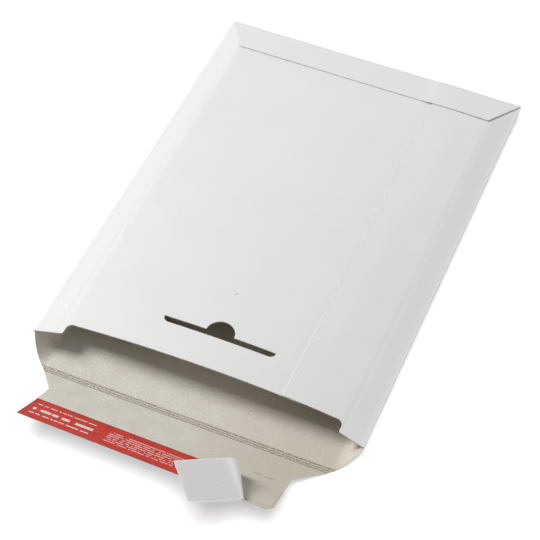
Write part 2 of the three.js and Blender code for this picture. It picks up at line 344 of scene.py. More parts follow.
# Printed blocks of the liner: start and end from its left, first row from its front, pitch, dash height,
# rows and dash length. A row's dashes start where its number times the seed puts them in a noise
PRINT_LEFT = -PEEL_TIP_X - FLAP_END_HALF
PRINT_BLOCKS = (
    (60 * MM, 118 * MM, 6 * MM, 2.6 * MM, 0.8 * MM, 6, 2.1 * MM),
    (5 * MM, 49.5 * MM, 5.8 * MM, 4.2 * MM, 1.4 * MM, 1, 2.2 * MM),
    (5 * MM, 49.5 * MM, 11.3 * MM, 6 * MM, 3.2 * MM, 1, 5 * MM),
    (5 * MM, 49.5 * MM, 19.8 * MM, 4.2 * MM, 1.1 * MM, 1, 2.2 * MM),
)
DASH_SEED = 7.31
DASH_RANGE = (0.42, 0.45)

# Camera, floor, and lamps by place, size, power and whether they leave the floor out or light it alone
CAMERA_PLACE = Vector((0.29804, -0.77017, 0.96576))
CAMERA_AZIMUTH = math.radians(21.65)
CAMERA_ELEVATION = math.radians(50.31)
CAMERA_ROLL = math.radians(1.5)
CAMERA_LENS = 113.18
CAMERA_SENSOR = 36.0
FLOOR_SIZE = 12.0
FLOOR_LEVEL = -0.2 * MM
FLOOR_GLOW = 0.15
SKY_LIGHT = 0.265
LAMPS = {
    "key": (Vector((-2.3, 0.25, 2.25)), 1.4, 101, "EXCLUDE"),
    "fill": (Vector((2.4, -0.6, 0.3)), 0.5, 9, "EXCLUDE"),
    "floor_lamp": (Vector((0.85, -2.5, 8.4)), 4.5, 870, "INCLUDE"),
}


# Outlines of flat blanks

def rounded(corners):
    """A closed outline through corners (s, v, radius), with each corner rounded by its radius."""
    outline = []
    count = len(corners)
    for i, (s, v, radius) in enumerate(corners):
        corner = Vector((s, v))
        if radius == 0:
            outline.append(corner)
            continue
        back = Vector(corners[i - 1][:2]) - corner
        ahead = Vector(corners[(i + 1) % count][:2]) - corner
        angle = back.angle(ahead)
        reach = radius / math.tan(angle / 2)
        middle = (back.normalized() + ahead.normalized()).normalized()
        centre = corner + middle * radius / math.sin(angle / 2)
        first = corner + back.normalized() * reach - centre
        turn = math.pi - angle
        if back.x * ahead.y - back.y * ahead.x > 0:
            turn = -turn
        steps = max(CORNER_STEPS, round(abs(turn) / CORNER_TURN))
        for k in range(steps + 1):
            outline.append(centre + Matrix.Rotation(turn * k / steps, 2) @ first)
    return outline


def arc(centre, radius, start, end, steps):
    """Points of an arc between two angles."""
    points = []
    for k in range(steps + 1):
        angle = start + (end - start) * k / steps
        points.append(Vector(centre) + radius * Vector((math.cos(angle), math.sin(angle))))
    return points


def divided(points, spacing, closed):
    """A polyline with points added so that none lie further apart than the spacing."""
    ends = points[1:] + points[:1] if closed else points[1:]
    fine = []
    for a, b in zip(points, ends):
        steps = max(1, math.ceil((b - a).length / spacing))
        fine.extend(a.lerp(b, k / steps) for k in range(steps))
    return fine if closed else fine + [points[-1]]


def inside(points, loop):
    """For each point, whether it lies inside a closed loop."""
    a = np.array(loop)
    b = np.roll(a, -1, axis=0)
    found = np.zeros(len(points), bool)
    for (ax, ay), (bx, by) in zip(a, b):
        if ay == by:
            continue
        crosses = (ay > points[:, 1]) != (by > points[:, 1])
        found ^= crosses & (points[:, 0] < (bx - ax) * (points[:, 1] - ay) / (by - ay) + ax)
    return found


def distance(points, line):
    """Distance of each flat point from a straight line between two ends."""
    start, end = (np.array(point) for point in line)
    along = end - start
    share = np.clip((points - start) @ along / (along @ along), 0, 1)
    return np.linalg.norm(points - start - share[:, None] * along, axis=1)


# Sheets: a flat outline, meshed, laid in place and given its thickness

def flat_mesh(outline, holes, lines, spacing):
    """Triangles of a flat blank that keep its outline, holes and crease lines as edges."""
    points = []
    edges = []
    for loop in [outline, *holes]:
        first = len(points)
        fine = divided(loop, spacing, True)
        points.extend(fine)
        edges.extend((first + k, first + (k + 1) % len(fine)) for k in range(len(fine)))
    for line in lines:
        first = len(points)
        fine = divided(line, spacing, False)
        points.extend(fine)
        edges.extend((first + k, first + k + 1) for k in range(len(fine) - 1))
    low = np.min(np.array(outline), axis=0)
    high = np.max(np.array(outline), axis=0)
    row_height = spacing * math.sqrt(3) / 2
    for row in range(1, int((high[1] - low[1]) / row_height)):
        shift = spacing / 2 * (row % 2)
        for column in range(1, int((high[0] - low[0]) / spacing)):
            points.append(Vector((low[0] + shift + column * spacing, low[1] + row * row_height)))
    verts, _, faces, *_ = delaunay_2d_cdt(points, edges, [], 0, CLOSE)
    flat = np.array(verts)
    triangles = np.array([face for face in faces if len(face) == 3])
    centres = flat[triangles].mean(axis=1)
    kept = inside(centres, outline)
    for hole in holes:
        kept &= ~inside(centres, hole)
    triangles = triangles[kept]
    used, index = np.unique(triangles, return_inverse=True)
    return flat[used], index.reshape(-1, 3)


def unit(vectors):
    """Vectors brought to a length of one."""
    length = np.linalg.norm(vectors, axis=1, keepdims=True)
    return vectors / np.maximum(length, CLOSE ** 2)


def vertex_normals(points, triangles):
    corners = points[triangles]
    face = np.cross(corners[:, 1] - corners[:, 0], corners[:, 2] - corners[:, 0])
    normals = np.zeros_like(points)
    for k in range(3):
        np.add.at(normals, triangles[:, k], face)
    return unit(normals)


def border_edges(triangles):
    """The directed edges that only one triangle has, each with that triangle's third corner."""
    turns = ([0, 1, 2], [1, 2, 0], [2, 0, 1])
    edges = np.concatenate([triangles[:, turn] for turn in turns])
    count = triangles.max() + 1
    ahead = edges[:, 0] * count + edges[:, 1]
    back = edges[:, 1] * count + edges[:, 0]
    return edges[~np.isin(ahead, back)]


def from_edge(points, border):
    """At the border's points, unit directions in the sheet that lead away from its cut edge."""
    along = unit(points[border[:, 1]] - points[border[:, 0]])
    across = points[border[:, 2]] - points[border[:, 0]]
    across = unit(across - (across * along).sum(axis=1, keepdims=True) * along)
    directions = np.zeros_like(points)
    for k in range(2):
        np.add.at(directions, border[:, k], across)
    return unit(directions)


def sheet_piece(name, flat, triangles, points, thickness, materials, crush=0.0, masks=None):
    """A sheet with its upper face, its under face and its cut edge, in that order of materials.

    The under face's rim is drawn in by crush, and masks are values at the flat points for the materials.
    """
    normals = vertex_normals(points, triangles)
    count = len(points)
    border = border_edges(triangles)
    upper = points + normals * thickness / 2
    under = points - normals * thickness / 2 + from_edge(points, border) * crush
    rim = np.column_stack([border[:, 1], border[:, 0], border[:, 0] + count, border[:, 1] + count])
    faces = triangles.tolist() + (triangles[:, ::-1] + count).tolist() + rim.tolist()
    mesh = bpy.data.meshes.new(name)
    mesh.from_pydata(np.concatenate([upper, under]).tolist(), [], faces)
    for material in materials:
        mesh.materials.append(material)
    part = np.repeat([0, 1, 2], [len(triangles), len(triangles), len(rim)])
    mesh.polygons.foreach_set("material_index", part.astype(np.int32))
    mesh.polygons.foreach_set("use_smooth", np.ones(len(faces), bool))
    corner = np.zeros(len(mesh.loops), np.int32)
    mesh.loops.foreach_get("vertex_index", corner)
    layer = mesh.uv_layers.new(name="blank")
    layer.data.foreach_set("uv", flat[corner % count].astype(np.float32).ravel())
    for key, values in (masks or {}).items():
        mask = mesh.attributes.new(key, "FLOAT", "POINT")
        mask.data.foreach_set("value", np.tile(values, 2).astype(np.float32))
    mesh.set_sharp_from_angle(angle=SHARP_EDGE)
    mesh.update()
    piece = bpy.data.objects.new(name, mesh)
    bpy.context.scene.collection.objects.link(piece)
    return piece


# The folded board

def smooth_min(a, b, reach):
    near = np.maximum(reach - np.abs(a - b), 0) / reach
    return np.minimum(a, b) - near * near * reach / 4


def smooth_step(value, start, end):
    t = np.clip((value - start) / (end - start), 0, 1)
    return t * t * (3 - 2 * t)


def eased(run):
    """A slope of one that starts softly over the first stretch beside a fold."""
    q = np.maximum(run, 0)
    return np.where(q < FOLD_EASE, q * q / (2 * FOLD_EASE), q - FOLD_EASE / 2)


def roof(x, y, height, side_border, rear_border, reach):
    """Rise from the folds to a flat panel: sloped borders at the sides and the rear meet at hips."""
    side = eased(FOLD_START - np.abs(x)) * height / (side_border - FOLD_EASE / 2)
    rear = eased(REAR_START - y) * height / (rear_border - FOLD_EASE / 2)
    return smooth_min(smooth_min(side, rear, reach), height, reach)


def unevenness(x, y):
    """Waves and dents of the top panel, which fade out towards its creases, and the creases' grooves."""
    height = WAVE_HEIGHT * np.sin(x / WAVE_X + WAVE_PHASE) * np.sin(y / WAVE_Y + x / WAVE_SLANT)
    height += WAVE_HEIGHT * np.sin((x + y) / LONG_WAVE + LONG_PHASE)
    fade = smooth_step(TOP_CREASE - np.abs(x), 0, WAVE_FADE)
    fade = fade * smooth_step(REAR_TOP_CREASE - y, 0, WAVE_FADE)
    for line in DENTS:
        height -= DENT_DEPTH * np.exp(-(distance(np.column_stack([x, y]), line) / DENT_WIDTH) ** 2)
    groove = np.exp(-((np.abs(x) - TOP_CREASE) / GROOVE_WIDTH) ** 2)
    return height * fade - GROOVE_DEPTH * groove * smooth_step(REAR_TOP_CREASE - y, 0, GROOVE_FADE)


def top_inner(x, y):
    """Height of the inner face of the top panel's under layer, arched most at the mouth."""
    along = np.clip(1 - y / REAR_TOP_CREASE, 0, 1) ** ARCH_FADE
    across = np.clip(1 - (x / TOP_CREASE) ** 2, 0, 1)
    rise = roof(x, y, TOP_RISE, SIDE_TOP, REAR_TOP, TOP_ROUNDING) + MOUTH_ARCH * along * across
    return FOLD_HEIGHT + FOLD_RADIUS - BOARD / 2 + rise + unevenness(x, y)


def lap_lift(x):
    """How far the overlapping right part lies above the left part, coming down beyond the lap."""
    return LAYER * (1 - smooth_step(x, LAP_END, TOP_CREASE))


def rear_flap_height(x, y):
    """Middle of the rear flap, which bridges the step at the lap and stands off at its right end."""
    bridge = lap_lift(x) * smooth_step(x, LAP_EDGE - LAP_BRIDGE, LAP_EDGE)
    free = smooth_step(REAR_START - y, 0, REAR_TOP)
    lift = REAR_LIFT * smooth_step(x, LAP_EDGE, TOP_CREASE) * free
    return top_inner(x, y) + 1.5 * BOARD + GLUE_GAP + bridge + lift


def flap_bend():
    """Tables of how far points past the hinge line lie forward and up, on a flap bent at its scores."""
    past = np.linspace(-2 * BEND_HALF, FLAP_LENGTH + BEND_MARGIN, BEND_STEPS)
    angle = np.zeros_like(past)
    for score in SCORES:
        angle += FLAP_TILT / len(SCORES) * smooth_step(past, score - SCORE_HALF, score + SCORE_HALF)
    step = past[1] - past[0]
    forward = past[0] + np.concatenate([[0], np.cumsum(np.cos(angle[:-1]) * step)])
    up = np.concatenate([[0], np.cumsum(np.sin(angle[:-1]) * step)])
    return past, forward, up


def bottom_points(x, v):
    """The bottom panel, with the closing flap in front of it, which is twisted a little."""
    past = -LIP - v
    table, forward, up = flap_bend()
    ahead = np.where(past > table[0], np.interp(past, table, forward), past)
    lift = np.interp(past, table, up) - BOARD / 2
    twist = FLAP_TWIST * x / FLAP_END_HALF * smooth_step(past, -BEND_HALF, BEND_HALF)
    cosine, sine = np.cos(twist), np.sin(twist)
    ahead, lift = ahead * cosine - lift * sine, ahead * sine + lift * cosine
    flat_depth = FOLD_HEIGHT - FOLD_RADIUS - BOARD / 2
    rise = 1 - roof(x, v, flat_depth, SIDE_BOTTOM, REAR_BOTTOM, BOTTOM_ROUNDING) / flat_depth
    rise = flat_depth * rise ** (1 + LIP_SAG * (1 - smooth_step(v, 0, LIP_SAG_REACH)))
    rise = rise * (1 - smooth_step(past, -SLOPE_FADE, SCORES[-1]))
    for score in SCORES:
        lift = lift - SCORE_DEPTH * np.exp(-((past - score) / SCORE_SPREAD) ** 2)
    for line in WRINKLES:
        wrinkle = distance(np.column_stack([x, past]), line) / WRINKLE_WIDTH
        lift = lift - WRINKLE_DEPTH * np.exp(-wrinkle ** 2)
    return np.column_stack([x, -LIP - ahead, BOARD + rise + lift])


def rear_points(x, v):
    """The rear fold, and the rear flap that lies on the top panel's end."""
    over = v - REAR_START
    low = FOLD_HEIGHT - FOLD_RADIUS
    high = rear_flap_height(x, np.full_like(x, REAR_START))
    turn = np.pi * np.clip(over / REAR_ARC, 0, 1)
    radius = (high - low) / 2
    y = REAR_START + REAR_RADIUS * np.sin(turn) - np.maximum(over - REAR_ARC, 0)
    z = np.where(over < REAR_ARC, low + radius * (1 - np.cos(turn)), rear_flap_height(x, y))
    return np.column_stack([x, y, z])


def top_points(x, v, right):
    """The top panel. Its right part lies over its left part at the lap."""
    return np.column_stack([x, v, top_inner(x, v) + BOARD / 2 + np.where(right, lap_lift(x), 0)])


def side_fold_points(s, v):
    """The folds at the two sides."""
    turn = (np.abs(s) - FOLD_START) / FOLD_RADIUS
    x = np.sign(s) * (FOLD_START + FOLD_RADIUS * np.sin(turn))
    return np.column_stack([x, v, FOLD_HEIGHT - FOLD_RADIUS * np.cos(turn)])


def folded(flat):
    """Points of the blank on the middle of the folded board."""
    s, v = flat[:, 0], flat[:, 1]
    run = np.abs(s)
    on_bottom = run <= FOLD_START + CLOSE
    on_rear = on_bottom & (v > REAR_START + CLOSE)
    on_top = run >= FOLD_START + FOLD_ARC - CLOSE
    top_x = np.sign(s) * (2 * FOLD_START + FOLD_ARC - run)
    points = side_fold_points(s, v)
    points[on_bottom] = bottom_points(s, v)[on_bottom]
    points[on_rear] = rear_points(s, v)[on_rear]
    points[on_top] = top_points(top_x, v, s > 0)[on_top]
    points[:, 1] += MOUTH
    return points


def left_top(x):
    """Place on the blank of a point of the top panel's left part."""
    return -(2 * FOLD_START + FOLD_ARC + x)


def right_top(x):
    """Place on the blank of a point of the top panel's right part."""
    return 2 * FOLD_START + FOLD_ARC - x


def rear_top(y):
    """Place on the blank of a point of the rear flap."""
    return 2 * REAR_START + REAR_ARC - y


def blank_outline():
    """Outline of the blank, from the lap's end in the left part of the top panel round by the flap."""
    fold_top = FOLD_START + FOLD_ARC
    top_end = REAR_START - TOP_END_GAP
    flap_end = -LIP - FLAP_LENGTH
    mitre_root = FOLD_START - MITRE_ROOT
    lip_middle = (FOLD_START + BOTTOM_CREASE) / 2 + LIP_BULGE
    return rounded([
        (left_top(LAP_END), RECESS_DEPTH, 0),
        (left_top(-LEFT_RECESS_HALF), RECESS_DEPTH, RECESS_RADIUS),
        (left_top(-LEFT_RECESS_HALF), MOUTH_LEAN, SHOULDER_RADIUS),
        (-fold_top, 0, 0),
        (-FOLD_START, 0, 0),
        (-lip_middle, -LIP / 2, LIP_RADIUS),
        (-BOTTOM_CREASE, -LIP, ROOT_RADIUS),
        (-LEFT_NECK_HALF, -LIP - NECK_RUN, NECK_RADIUS),
        (-FLAP_END_HALF, flap_end, FLAP_CORNER_RADIUS),
        (FLAP_END_HALF, flap_end, FLAP_CORNER_RADIUS),
        (RIGHT_NECK_HALF, -LIP - NECK_RUN, NECK_RADIUS),
        (BOTTOM_CREASE, -LIP, ROOT_RADIUS),
        (FOLD_START, -LIP_START, LIP_CORNER_RADIUS),
        (FOLD_START, 0, 0),
        (fold_top, 0, 0),
        (right_top(RIGHT_RECESS_HALF), MOUTH_LEAN, SHOULDER_RADIUS),
        (right_top(RIGHT_RECESS_HALF), RECESS_DEPTH, RECESS_RADIUS),
        (right_top(LAP_EDGE), RECESS_DEPTH, 0),
        (right_top(LAP_EDGE), top_end, 0),
        (fold_top, top_end, 0),
        (FOLD_START, REAR_START, 0),
        (mitre_root, rear_top(REAR_START), 0),
        (TOP_CREASE - RIGHT_MITRE_GAP, rear_top(REAR_TOP_CREASE), 0),
        (LEFT_MITRE_GAP - TOP_CREASE, rear_top(REAR_TOP_CREASE), 0),
        (-mitre_root, rear_top(REAR_START), 0),
        (-FOLD_START, REAR_START, 0),
        (-fold_top, top_end, 0),
        (left_top(LAP_END), top_end, 0),
    ])


def slot_outline():
    """Tuck slot whose front side rounds up to its ends, with a half-round notch in its rear side."""
    end = SLOT_HALF - SLOT_WIDTH
    rear = SLOT_FROM_MOUTH + SLOT_WIDTH / 2
    quarter = math.pi / 2
    return [
        *arc((left_top(-end), rear), SLOT_WIDTH, -quarter, 0, SLOT_END_STEPS),
        *arc((left_top(0), rear), THUMB_RADIUS, 0, math.pi, THUMB_STEPS),
        *arc((left_top(end), rear), SLOT_WIDTH, math.pi, 3 * quarter, SLOT_END_STEPS),
    ]


def straight(first, second):
    return [Vector(first), Vector(second)]


def creases():
    """Lines of the blank where a sloped border meets a panel or another border."""
    rear_end = (BOTTOM_CREASE, REAR_BOTTOM_CREASE)
    lines = [straight((-BOTTOM_CREASE, REAR_BOTTOM_CREASE), rear_end)]
    for side in (-1, 1):
        top_of = left_top if side < 0 else right_top
        corner = (side * BOTTOM_CREASE, REAR_BOTTOM_CREASE)
        lines.append(straight((side * FOLD_START, REAR_START), corner))
        lines.append(straight(corner, (side * BOTTOM_CREASE, -LIP)))
        corner = (top_of(side * TOP_CREASE), REAR_TOP_CREASE)
        lines.append(straight((top_of(side * FOLD_START), REAR_START), corner))
        lines.append(straight(corner, (corner[0], 0)))
    return lines


def folds():
    """Lines of the blank at the start of each fold, and the run of the blank that the fold takes up."""
    return [
        (straight((-FOLD_START, 0), (-FOLD_START, REAR_START)), Vector((-FOLD_ARC, 0))),
        (straight((FOLD_START, 0), (FOLD_START, REAR_START)), Vector((FOLD_ARC, 0))),
        (straight((-FOLD_START, REAR_START), (FOLD_START, REAR_START)), Vector((0, REAR_ARC))),
    ]


def beside(line, spacing, count):
    """A straight line, and a count of copies of it on each side."""
    along = (line[1] - line[0]).normalized()
    across = Vector((-along.y, along.x))
    offsets = [k * spacing for k in range(-count, count + 1)]
    return [[point + across * offset for point in line] for offset in offsets]


def mesh_lines():
    """Lines of the blank that its mesh follows, for clean folds, creases, scores and dents."""
    lines = []
    for line in creases():
        lines += beside(line, *CREASE_LINES)
    for line, run in folds():
        lines += [[point + run * k / ARC_STEPS for point in line] for k in range(ARC_STEPS + 1)]
    hinge_line = straight((-FOLD_START, -LIP), (FOLD_START, -LIP))
    lines += beside(hinge_line, *SCORE_LINES)
    for x in (left_top(-TOP_CREASE), right_top(TOP_CREASE)):
        inner = math.copysign(right_top(LAP_EDGE), x)
        lines.append(straight((x, REAR_TOP_CREASE), (inner, REAR_TOP_CREASE)))
    for start, end in DENTS:
        dent = straight((left_top(start[0]), start[1]), (left_top(end[0]), end[1]))
        lines += beside(dent, *DENT_LINES)
    for start, end in WRINKLES:
        wrinkle = straight((start[0], -LIP - start[1]), (end[0], -LIP - end[1]))
        lines += beside(wrinkle, *WRINKLE_LINES)
    return lines


def board_masks(flat):
    """Where the board is worn along folds and creases, has cracks at its scores, and has painted light
    and shade.
    """
    middles = [[point + run / 2 for point in line] for line, run in folds()]
    nearest = np.min([distance(flat, line) for line in creases() + middles], axis=0)
    from_fold = np.min([distance(flat, line) for line in middles], axis=0)
    past = -LIP - flat[:, 1]
    score = np.max([np.exp(-((past - score) / SCORE_MARK) ** 2) for score in SCORES], axis=0)
    ridge_highlight = np.clip(1 - np.abs(past) / BEND_HALF, 0, 1) * (1 - score)
    return {
        "wear": np.clip(1 - nearest / WEAR_WIDTH, 0, 1),
        "fold": np.clip(1 - from_fold / FOLD_PAINTED_LIGHT_WIDTH, 0, 1),
        "score": score,
        "ridge_highlight": ridge_highlight,
    }


# Pieces on the flap's plane

def on_flap(local):
    """Points given from the hinge in the flap's plane, at its rest tilt and twist."""
    tilt = FLAP_TILT + FLAP_TWIST * local[:, 0] / FLAP_END_HALF
    y = local[:, 1] * np.cos(tilt) + local[:, 2] * np.sin(tilt)
    z = local[:, 2] * np.cos(tilt) - local[:, 1] * np.sin(tilt)
    return np.column_stack([local[:, 0], y, z]) + np.array(HINGE)


def turned(points, axis, angles):
    """Points turned about an axis through the origin, each by its own angle."""
    axis = np.array(axis)
    cosine = np.cos(angles)[:, None]
    sine = np.sin(angles)[:, None]
    along = (points @ axis)[:, None] * axis
    return points * cosine + np.cross(axis, points) * sine + along * (1 - cosine)


def peeled(flat):
    """The liner: flat up to a slanting line, then rolled up and back over a cone round its tip."""
    s, v = flat[:, 0], flat[:, 1]
    slope = np.arctan2(v, -s)
    turn = np.clip((slope - PEEL_START) / math.sin(PEEL_CONE), 0, PEEL_WRAP)
    first = Vector((-math.cos(PEEL_START), math.sin(PEEL_START), 0))
    up = Vector((0, 0, 1))
    axis = first * math.cos(PEEL_CONE) + up * math.sin(PEEL_CONE)
    points = turned(np.column_stack([s, v, np.zeros_like(s)]), up, turn * math.sin(PEEL_CONE))
    tip = np.array([PEEL_TIP_X, -FLAP_LENGTH - PEEL_TIP_BEYOND, LINER_SEAT + LINER_THICKNESS / 2])
    return turned(points, axis, -turn) + tip


def film_outline():
    """The film, a strip along the middle of the liner's width."""
    half = FLAP_END_HALF - FILM_SIDE_MARGIN
    low = (LINER_WIDTH - FILM_WIDTH) / 2 - FLAP_LENGTH
    high = low + FILM_WIDTH
    corners = ((-half, low), (half, low), (half, high), (-half, high))
    return rounded([(s, v, FILM_CORNER) for s, v in corners])


def liner_outline():
    """The liner, which is a little wider at its peeled end."""
    left = -PEEL_TIP_X - FLAP_END_HALF - LINER_OVERHANG
    near = PEEL_TIP_BEYOND
    far = PEEL_TIP_BEYOND + LINER_WIDTH
    return rounded([
        (left, near - LINER_FRONT, 0),
        *((s, near - wider, radius) for s, wider, radius in NEAR_SIDE),
        *((s, far + wider, radius) for s, wider, radius in FAR_SIDE),
        (left + LINER_SKEW, far, 0),
    ])


def bend_mask(flat):
    """How far the liner's roll reaches, which gets a painted highlight: 1 on it, fading out on the
    peeled end.
    """
    slope = np.arctan2(flat[:, 1], -flat[:, 0])
    past = slope - PEEL_START - PEEL_WRAP * math.sin(PEEL_CONE)
    return np.where(slope > PEEL_START, 1 - smooth_step(past, *ROLL_FADE), 0)


def rim_mask(flat, outline, width):
    """How close points lie to a sheet's outline: 1 on it, and 0 from the given distance."""
    sides = zip(outline, outline[1:] + outline[:1])
    nearest = np.min([distance(flat, side) for side in sides], axis=0)
    return np.clip(1 - nearest / width, 0, 1)


# Materials, drawn on the flat blank

def new_material(name):
    """A material, its node tree and its shader."""
    material = bpy.data.materials.new(name)
    material.use_nodes = True
    tree = material.node_tree
    return material, tree, tree.nodes["Principled BSDF"]


def fill(tree, node, inputs):
    """Sets a node's inputs to values, or links them from sockets."""
    for key, value in inputs.items():
        if isinstance(value, bpy.types.NodeSocket):
            tree.links.new(value, node.inputs[key])
        else:
            node.inputs[key].default_value = value


def add(tree, kind, inputs=None, **settings):
    """A new node with its settings and inputs."""
    node = tree.nodes.new(kind)
    for key, value in settings.items():
        setattr(node, key, value)
    fill(tree, node, inputs or {})
    return node


def math_node(tree, operation, first, second=0.0):
    return add(tree, "ShaderNodeMath", {0: first, 1: second}, operation=operation).outputs[0]


def product(tree, first, second):
    return math_node(tree, "MULTIPLY", first, second)


def ramp(tree, value, low, high, start=0.0, end=1.0):
    """A value taken from low to high onto start to end, and held at those ends."""
    inputs = {"Value": value, "From Min": low, "From Max": high, "To Min": start, "To Max": end}
    return add(tree, "ShaderNodeMapRange", inputs).outputs[0]


def mixed(tree, share, first, second):
    """A colour between two colours, by the Mix node's sockets for colours: 6 and 7 in, and 2 out."""
    inputs = {0: share}
    for key, color in ((6, first), (7, second)):
        inputs[key] = color if isinstance(color, bpy.types.NodeSocket) else (*color, 1)
    return add(tree, "ShaderNodeMix", inputs, data_type="RGBA").outputs[2]


def blank_point(tree, place=(0, 0), size=(1, 1), angle=0.0):
    """The blank's coordinates from a place, turned, and measured in a size along s and along v."""
    point = add(tree, "ShaderNodeUVMap", uv_map="blank").outputs[0]
    inputs = {0: point, 1: (*place, 0)}
    point = add(tree, "ShaderNodeVectorMath", inputs, operation="SUBTRACT").outputs[0]
    if angle:
        inputs = {"Vector": point, "Angle": angle}
        point = add(tree, "ShaderNodeVectorRotate", inputs, rotation_type="Z_AXIS").outputs[0]
    inputs = {0: point, 1: (*size, 1)}
    return add(tree, "ShaderNodeVectorMath", inputs, operation="DIVIDE").outputs[0]


def noise(tree, size, detail, stretch, angle=0.0):
    """Noise on the blank with marks of a size in metres, longer along v by stretch."""
    point = blank_point(tree, size=(size, size * stretch), angle=angle)
    inputs = {"Vector": point, "Scale": 1.0, "Detail": detail}
    return add(tree, "ShaderNodeTexNoise", inputs, noise_dimensions="2D").outputs[0]


def patches(tree, look, angle=0.0):
    """Noise as one of the tables of patches describes it."""
    size, stretch, detail, low, high, start, end = look
    return ramp(tree, noise(tree, size, detail, stretch, angle), low, high, start, end)


def spot(tree, place, size, angle=0.0):
    """1 at a place of the blank, falling to 0 at a size along s and along v."""
    point = blank_point(tree, place, size, angle)
    reach = add(tree, "ShaderNodeVectorMath", {0: point}, operation="LENGTH").outputs["Value"]
    return ramp(tree, reach, SPOT_CORE, 1, 1, 0)


def stripe(tree, place, width):
    """1 on a line along v at a place of the blank, falling to 0 at a width, and the place along v."""
    point = add(tree, "ShaderNodeSeparateXYZ", {0: blank_point(tree, (place, 0))})
    beside_line = math_node(tree, "ABSOLUTE", point.outputs[0])
    return ramp(tree, beside_line, 0, width, 1, 0), point.outputs[1]


def mask(tree, name):
    return add(tree, "ShaderNodeAttribute", attribute_name=name).outputs["Fac"]


def bump(tree, shader, height, depth):
    node = add(tree, "ShaderNodeBump", {"Height": height, "Distance": depth, "Strength": 1.0})
    tree.links.new(node.outputs[0], shader.inputs["Normal"])


def relief(tree, shader, look):
    """Bump as one of the tables of relief describes it."""
    size, detail, stretch, depth = look
    bump(tree, shader, noise(tree, size, detail, stretch), depth)


def white_board():
    """Coated white board: faintly clouded, worn pale at creases, soiled, scuffed, with painted light and
    shade.
    """
    material, tree, shader = new_material("white_outside")
    color = mixed(tree, patches(tree, WHITE_CLOUD), *WHITE_GROUND)
    mottle = patches(tree, WHITE_MOTTLE)
    color = mixed(tree, mottle, color, MOTTLE_TONE)
    broken = patches(tree, WHITE_BROKEN)
    rubbed = product(tree, mask(tree, "wear"), broken)
    color = mixed(tree, product(tree, rubbed, RUBBED_SHARE), color, RUBBED_TONE)
    # Painted light: the folds are paled so that their shaded sides read lighter
    color = mixed(tree, product(tree, mask(tree, "fold"), FOLD_PAINTED_LIGHT_SHARE), color, FOLD_PAINTED_LIGHT_TONE)
    # Painted shade at the foot of the lap's edge, broken into patches
    seam, along = stripe(tree, left_top(LAP_EDGE), SEAM_SHADE_WIDTH)
    shade_and_dirt = product(tree, seam, patches(tree, SEAM_SHADE_PATCHES))
    shade_and_dirt = product(tree, shade_and_dirt, ramp(tree, along, *SEAM_STRETCH, *SEAM_SHADE_SHARE))
    color = mixed(tree, shade_and_dirt, color, SEAM_SHADE_TONE)
    # Painted highlight along the lap's edge
    line, along = stripe(tree, right_top(LAP_EDGE), LAP_HIGHLIGHT_WIDTH)
    pale = product(tree, line, ramp(tree, along, *SEAM_STRETCH, *LAP_HIGHLIGHT_SHARE))
    color = mixed(tree, pale, color, LAP_HIGHLIGHT_TONE)
    behind_line, _ = stripe(tree, right_top(LAP_EDGE + LAP_DIRT_OFFSET), LAP_DIRT_WIDTH)
    shade_and_dirt = product(tree, behind_line, product(tree, broken, LAP_DIRT_SHARE))
    color = mixed(tree, shade_and_dirt, color, LAP_DIRT_TONE)
    # The two long faint marks are painted shade along the dents; the others are scuffs
    for x, v, along, across, share in WHITE_SCUFFS_AND_DENT_SHADE:
        mark = spot(tree, (left_top(x), v), (along, across))
        color = mixed(tree, product(tree, mark, share), color, SCUFF_AND_DENT_SHADE_TONE)
    roughness = ramp(tree, mottle, 0, WHITE_MOTTLE[-1], *WHITE_ROUGHNESS)
    fill(tree, shader, {"Base Color": color, "Roughness": roughness, "Specular IOR Level": 0.4})
    relief(tree, shader, WHITE_RELIEF)
    return material


